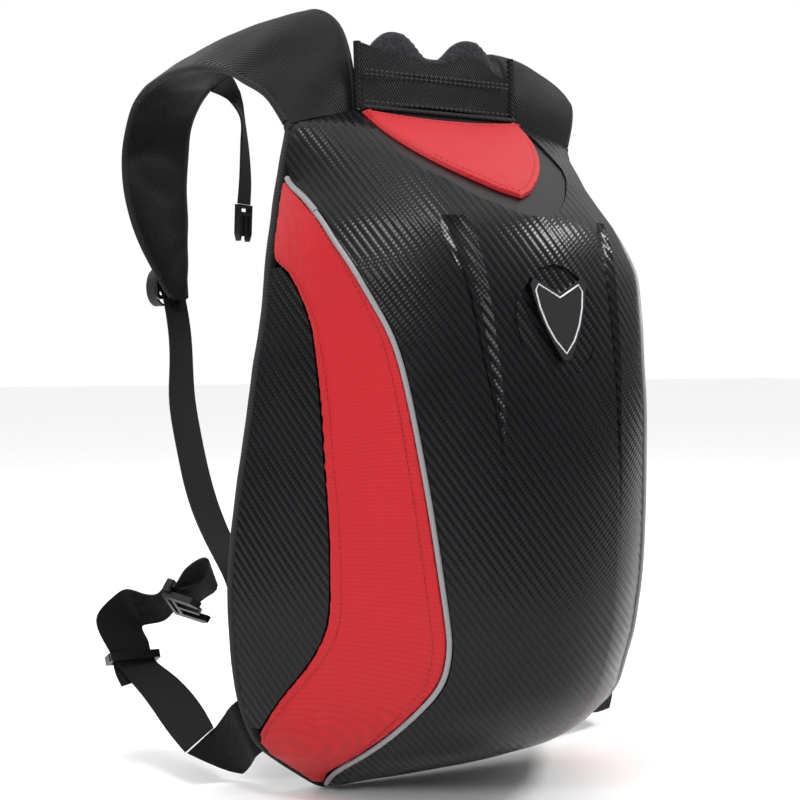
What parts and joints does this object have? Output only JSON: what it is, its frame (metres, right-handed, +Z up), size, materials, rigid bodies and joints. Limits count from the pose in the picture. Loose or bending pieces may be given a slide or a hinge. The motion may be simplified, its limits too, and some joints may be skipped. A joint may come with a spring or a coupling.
{
  "type": "hard shell backpack",
  "caption": "Motorcycle-style hard shell backpack with a moulded ribbed shell, red side panels and flap, padded shoulder straps, chest strap and waist belt.",
  "frame": {"origin": "on the flat rear face of the back panel, half way up and half way across, where the wearer's back is", "axes": "+X to the right of a viewer facing the shell, -Y out of the shell, +Y towards the wearer, +Z up"},
  "size_m": [0.4292, 0.4681, 0.5564],
  "materials": {
    "shell": "gloss black with an embossed diagonal rib",
    "facet": "smooth satin black",
    "red": "coated red fabric",
    "piping": "grey reflective tape",
    "fabric": "ribbed black fabric",
    "mesh": "black spacer mesh over foam",
    "webbing": "woven grey-black webbing",
    "buckle": "moulded black plastic",
    "badge": "polished black with silver outlines"
  },
  "bodies": {
    "root": {"front_shell": "shell", "flap_surround": "facet", "top_flap": "red", "collar_facing": "fabric", "badge": "badge", "left_red_panel": "red", "right_red_panel": "red", "left_side_panel": "shell", "right_side_panel": "shell", "left_piping": "piping", "right_piping": "piping", "edge_binding": "fabric", "back_panel": "mesh", "collar": "fabric", "left_strap": "fabric", "right_strap": "fabric", "chest_buckle_plug": "buckle", "chest_buckle_socket": "buckle", "belt_buckle_plug": "buckle", "belt_buckle_socket": "buckle", "left_strap_tail": "webbing", "left_tail_end": "webbing", "left_chest_strap": "webbing", "left_belt_root": "webbing", "left_belt": "webbing", "left_belt_end": "webbing", "left_adjuster": "buckle", "left_belt_slider": "buckle", "right_strap_tail": "webbing", "right_tail_end": "webbing", "right_chest_strap": "webbing", "right_belt_root": "webbing", "right_belt": "webbing", "right_belt_end": "webbing", "right_adjuster": "buckle", "right_belt_slider": "buckle"}
  },
  "joints": []
}
